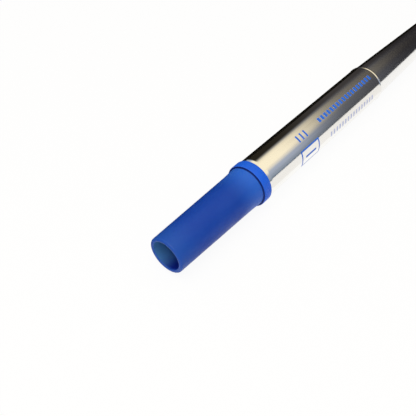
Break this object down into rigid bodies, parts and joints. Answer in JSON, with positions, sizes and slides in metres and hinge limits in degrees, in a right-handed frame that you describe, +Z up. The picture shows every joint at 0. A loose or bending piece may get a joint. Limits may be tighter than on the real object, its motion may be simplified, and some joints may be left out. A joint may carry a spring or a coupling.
{
  "type": "rollerball pen refill",
  "caption": "Metal-bodied rollerball pen refill with a hollow plastic end plug, a straight tube, a long tapering nose and a writing ball that turns in its socket.",
  "frame": {"origin": "on the refill's axis at the open mouth of the end plug", "axes": "+X along the axis from the end plug's mouth to the writing ball, +Z up as the refill lies on its side"},
  "size_m": [0.1105, 0.0066, 0.0066],
  "materials": {
    "plug_plastic": "satin blue polypropylene, slightly translucent",
    "tube_metal": "bright plated, with small blue printed marks",
    "nose_metal": "bright plated",
    "fibre": "ink-soaked fibre bundle",
    "film": "clear film",
    "breather_plastic": "natural plastic",
    "wick": "ink-soaked fibre rod",
    "holder_plastic": "satin black moulding",
    "point_metal": "turned nickel silver",
    "ball_metal": "ground tungsten carbide"
  },
  "bodies": {
    "refill": {"end_plug": "plug_plastic", "body_tube": "tube_metal", "nose_cone": "nose_metal", "reservoir_fibre": "fibre", "reservoir_film": "film", "breather_tube": "breather_plastic", "feed_rod": "wick", "point_holder": "holder_plastic", "point_housing": "point_metal"},
    "ball": {"writing_ball": "ball_metal"}
  },
  "joints": [
    {"name": "ball_roll", "type": "hinge", "parent": "refill", "child": "ball", "pos_m": [0.11025, 0, 0], "axis": [0, 1, 0], "continuous": true}
  ]
}
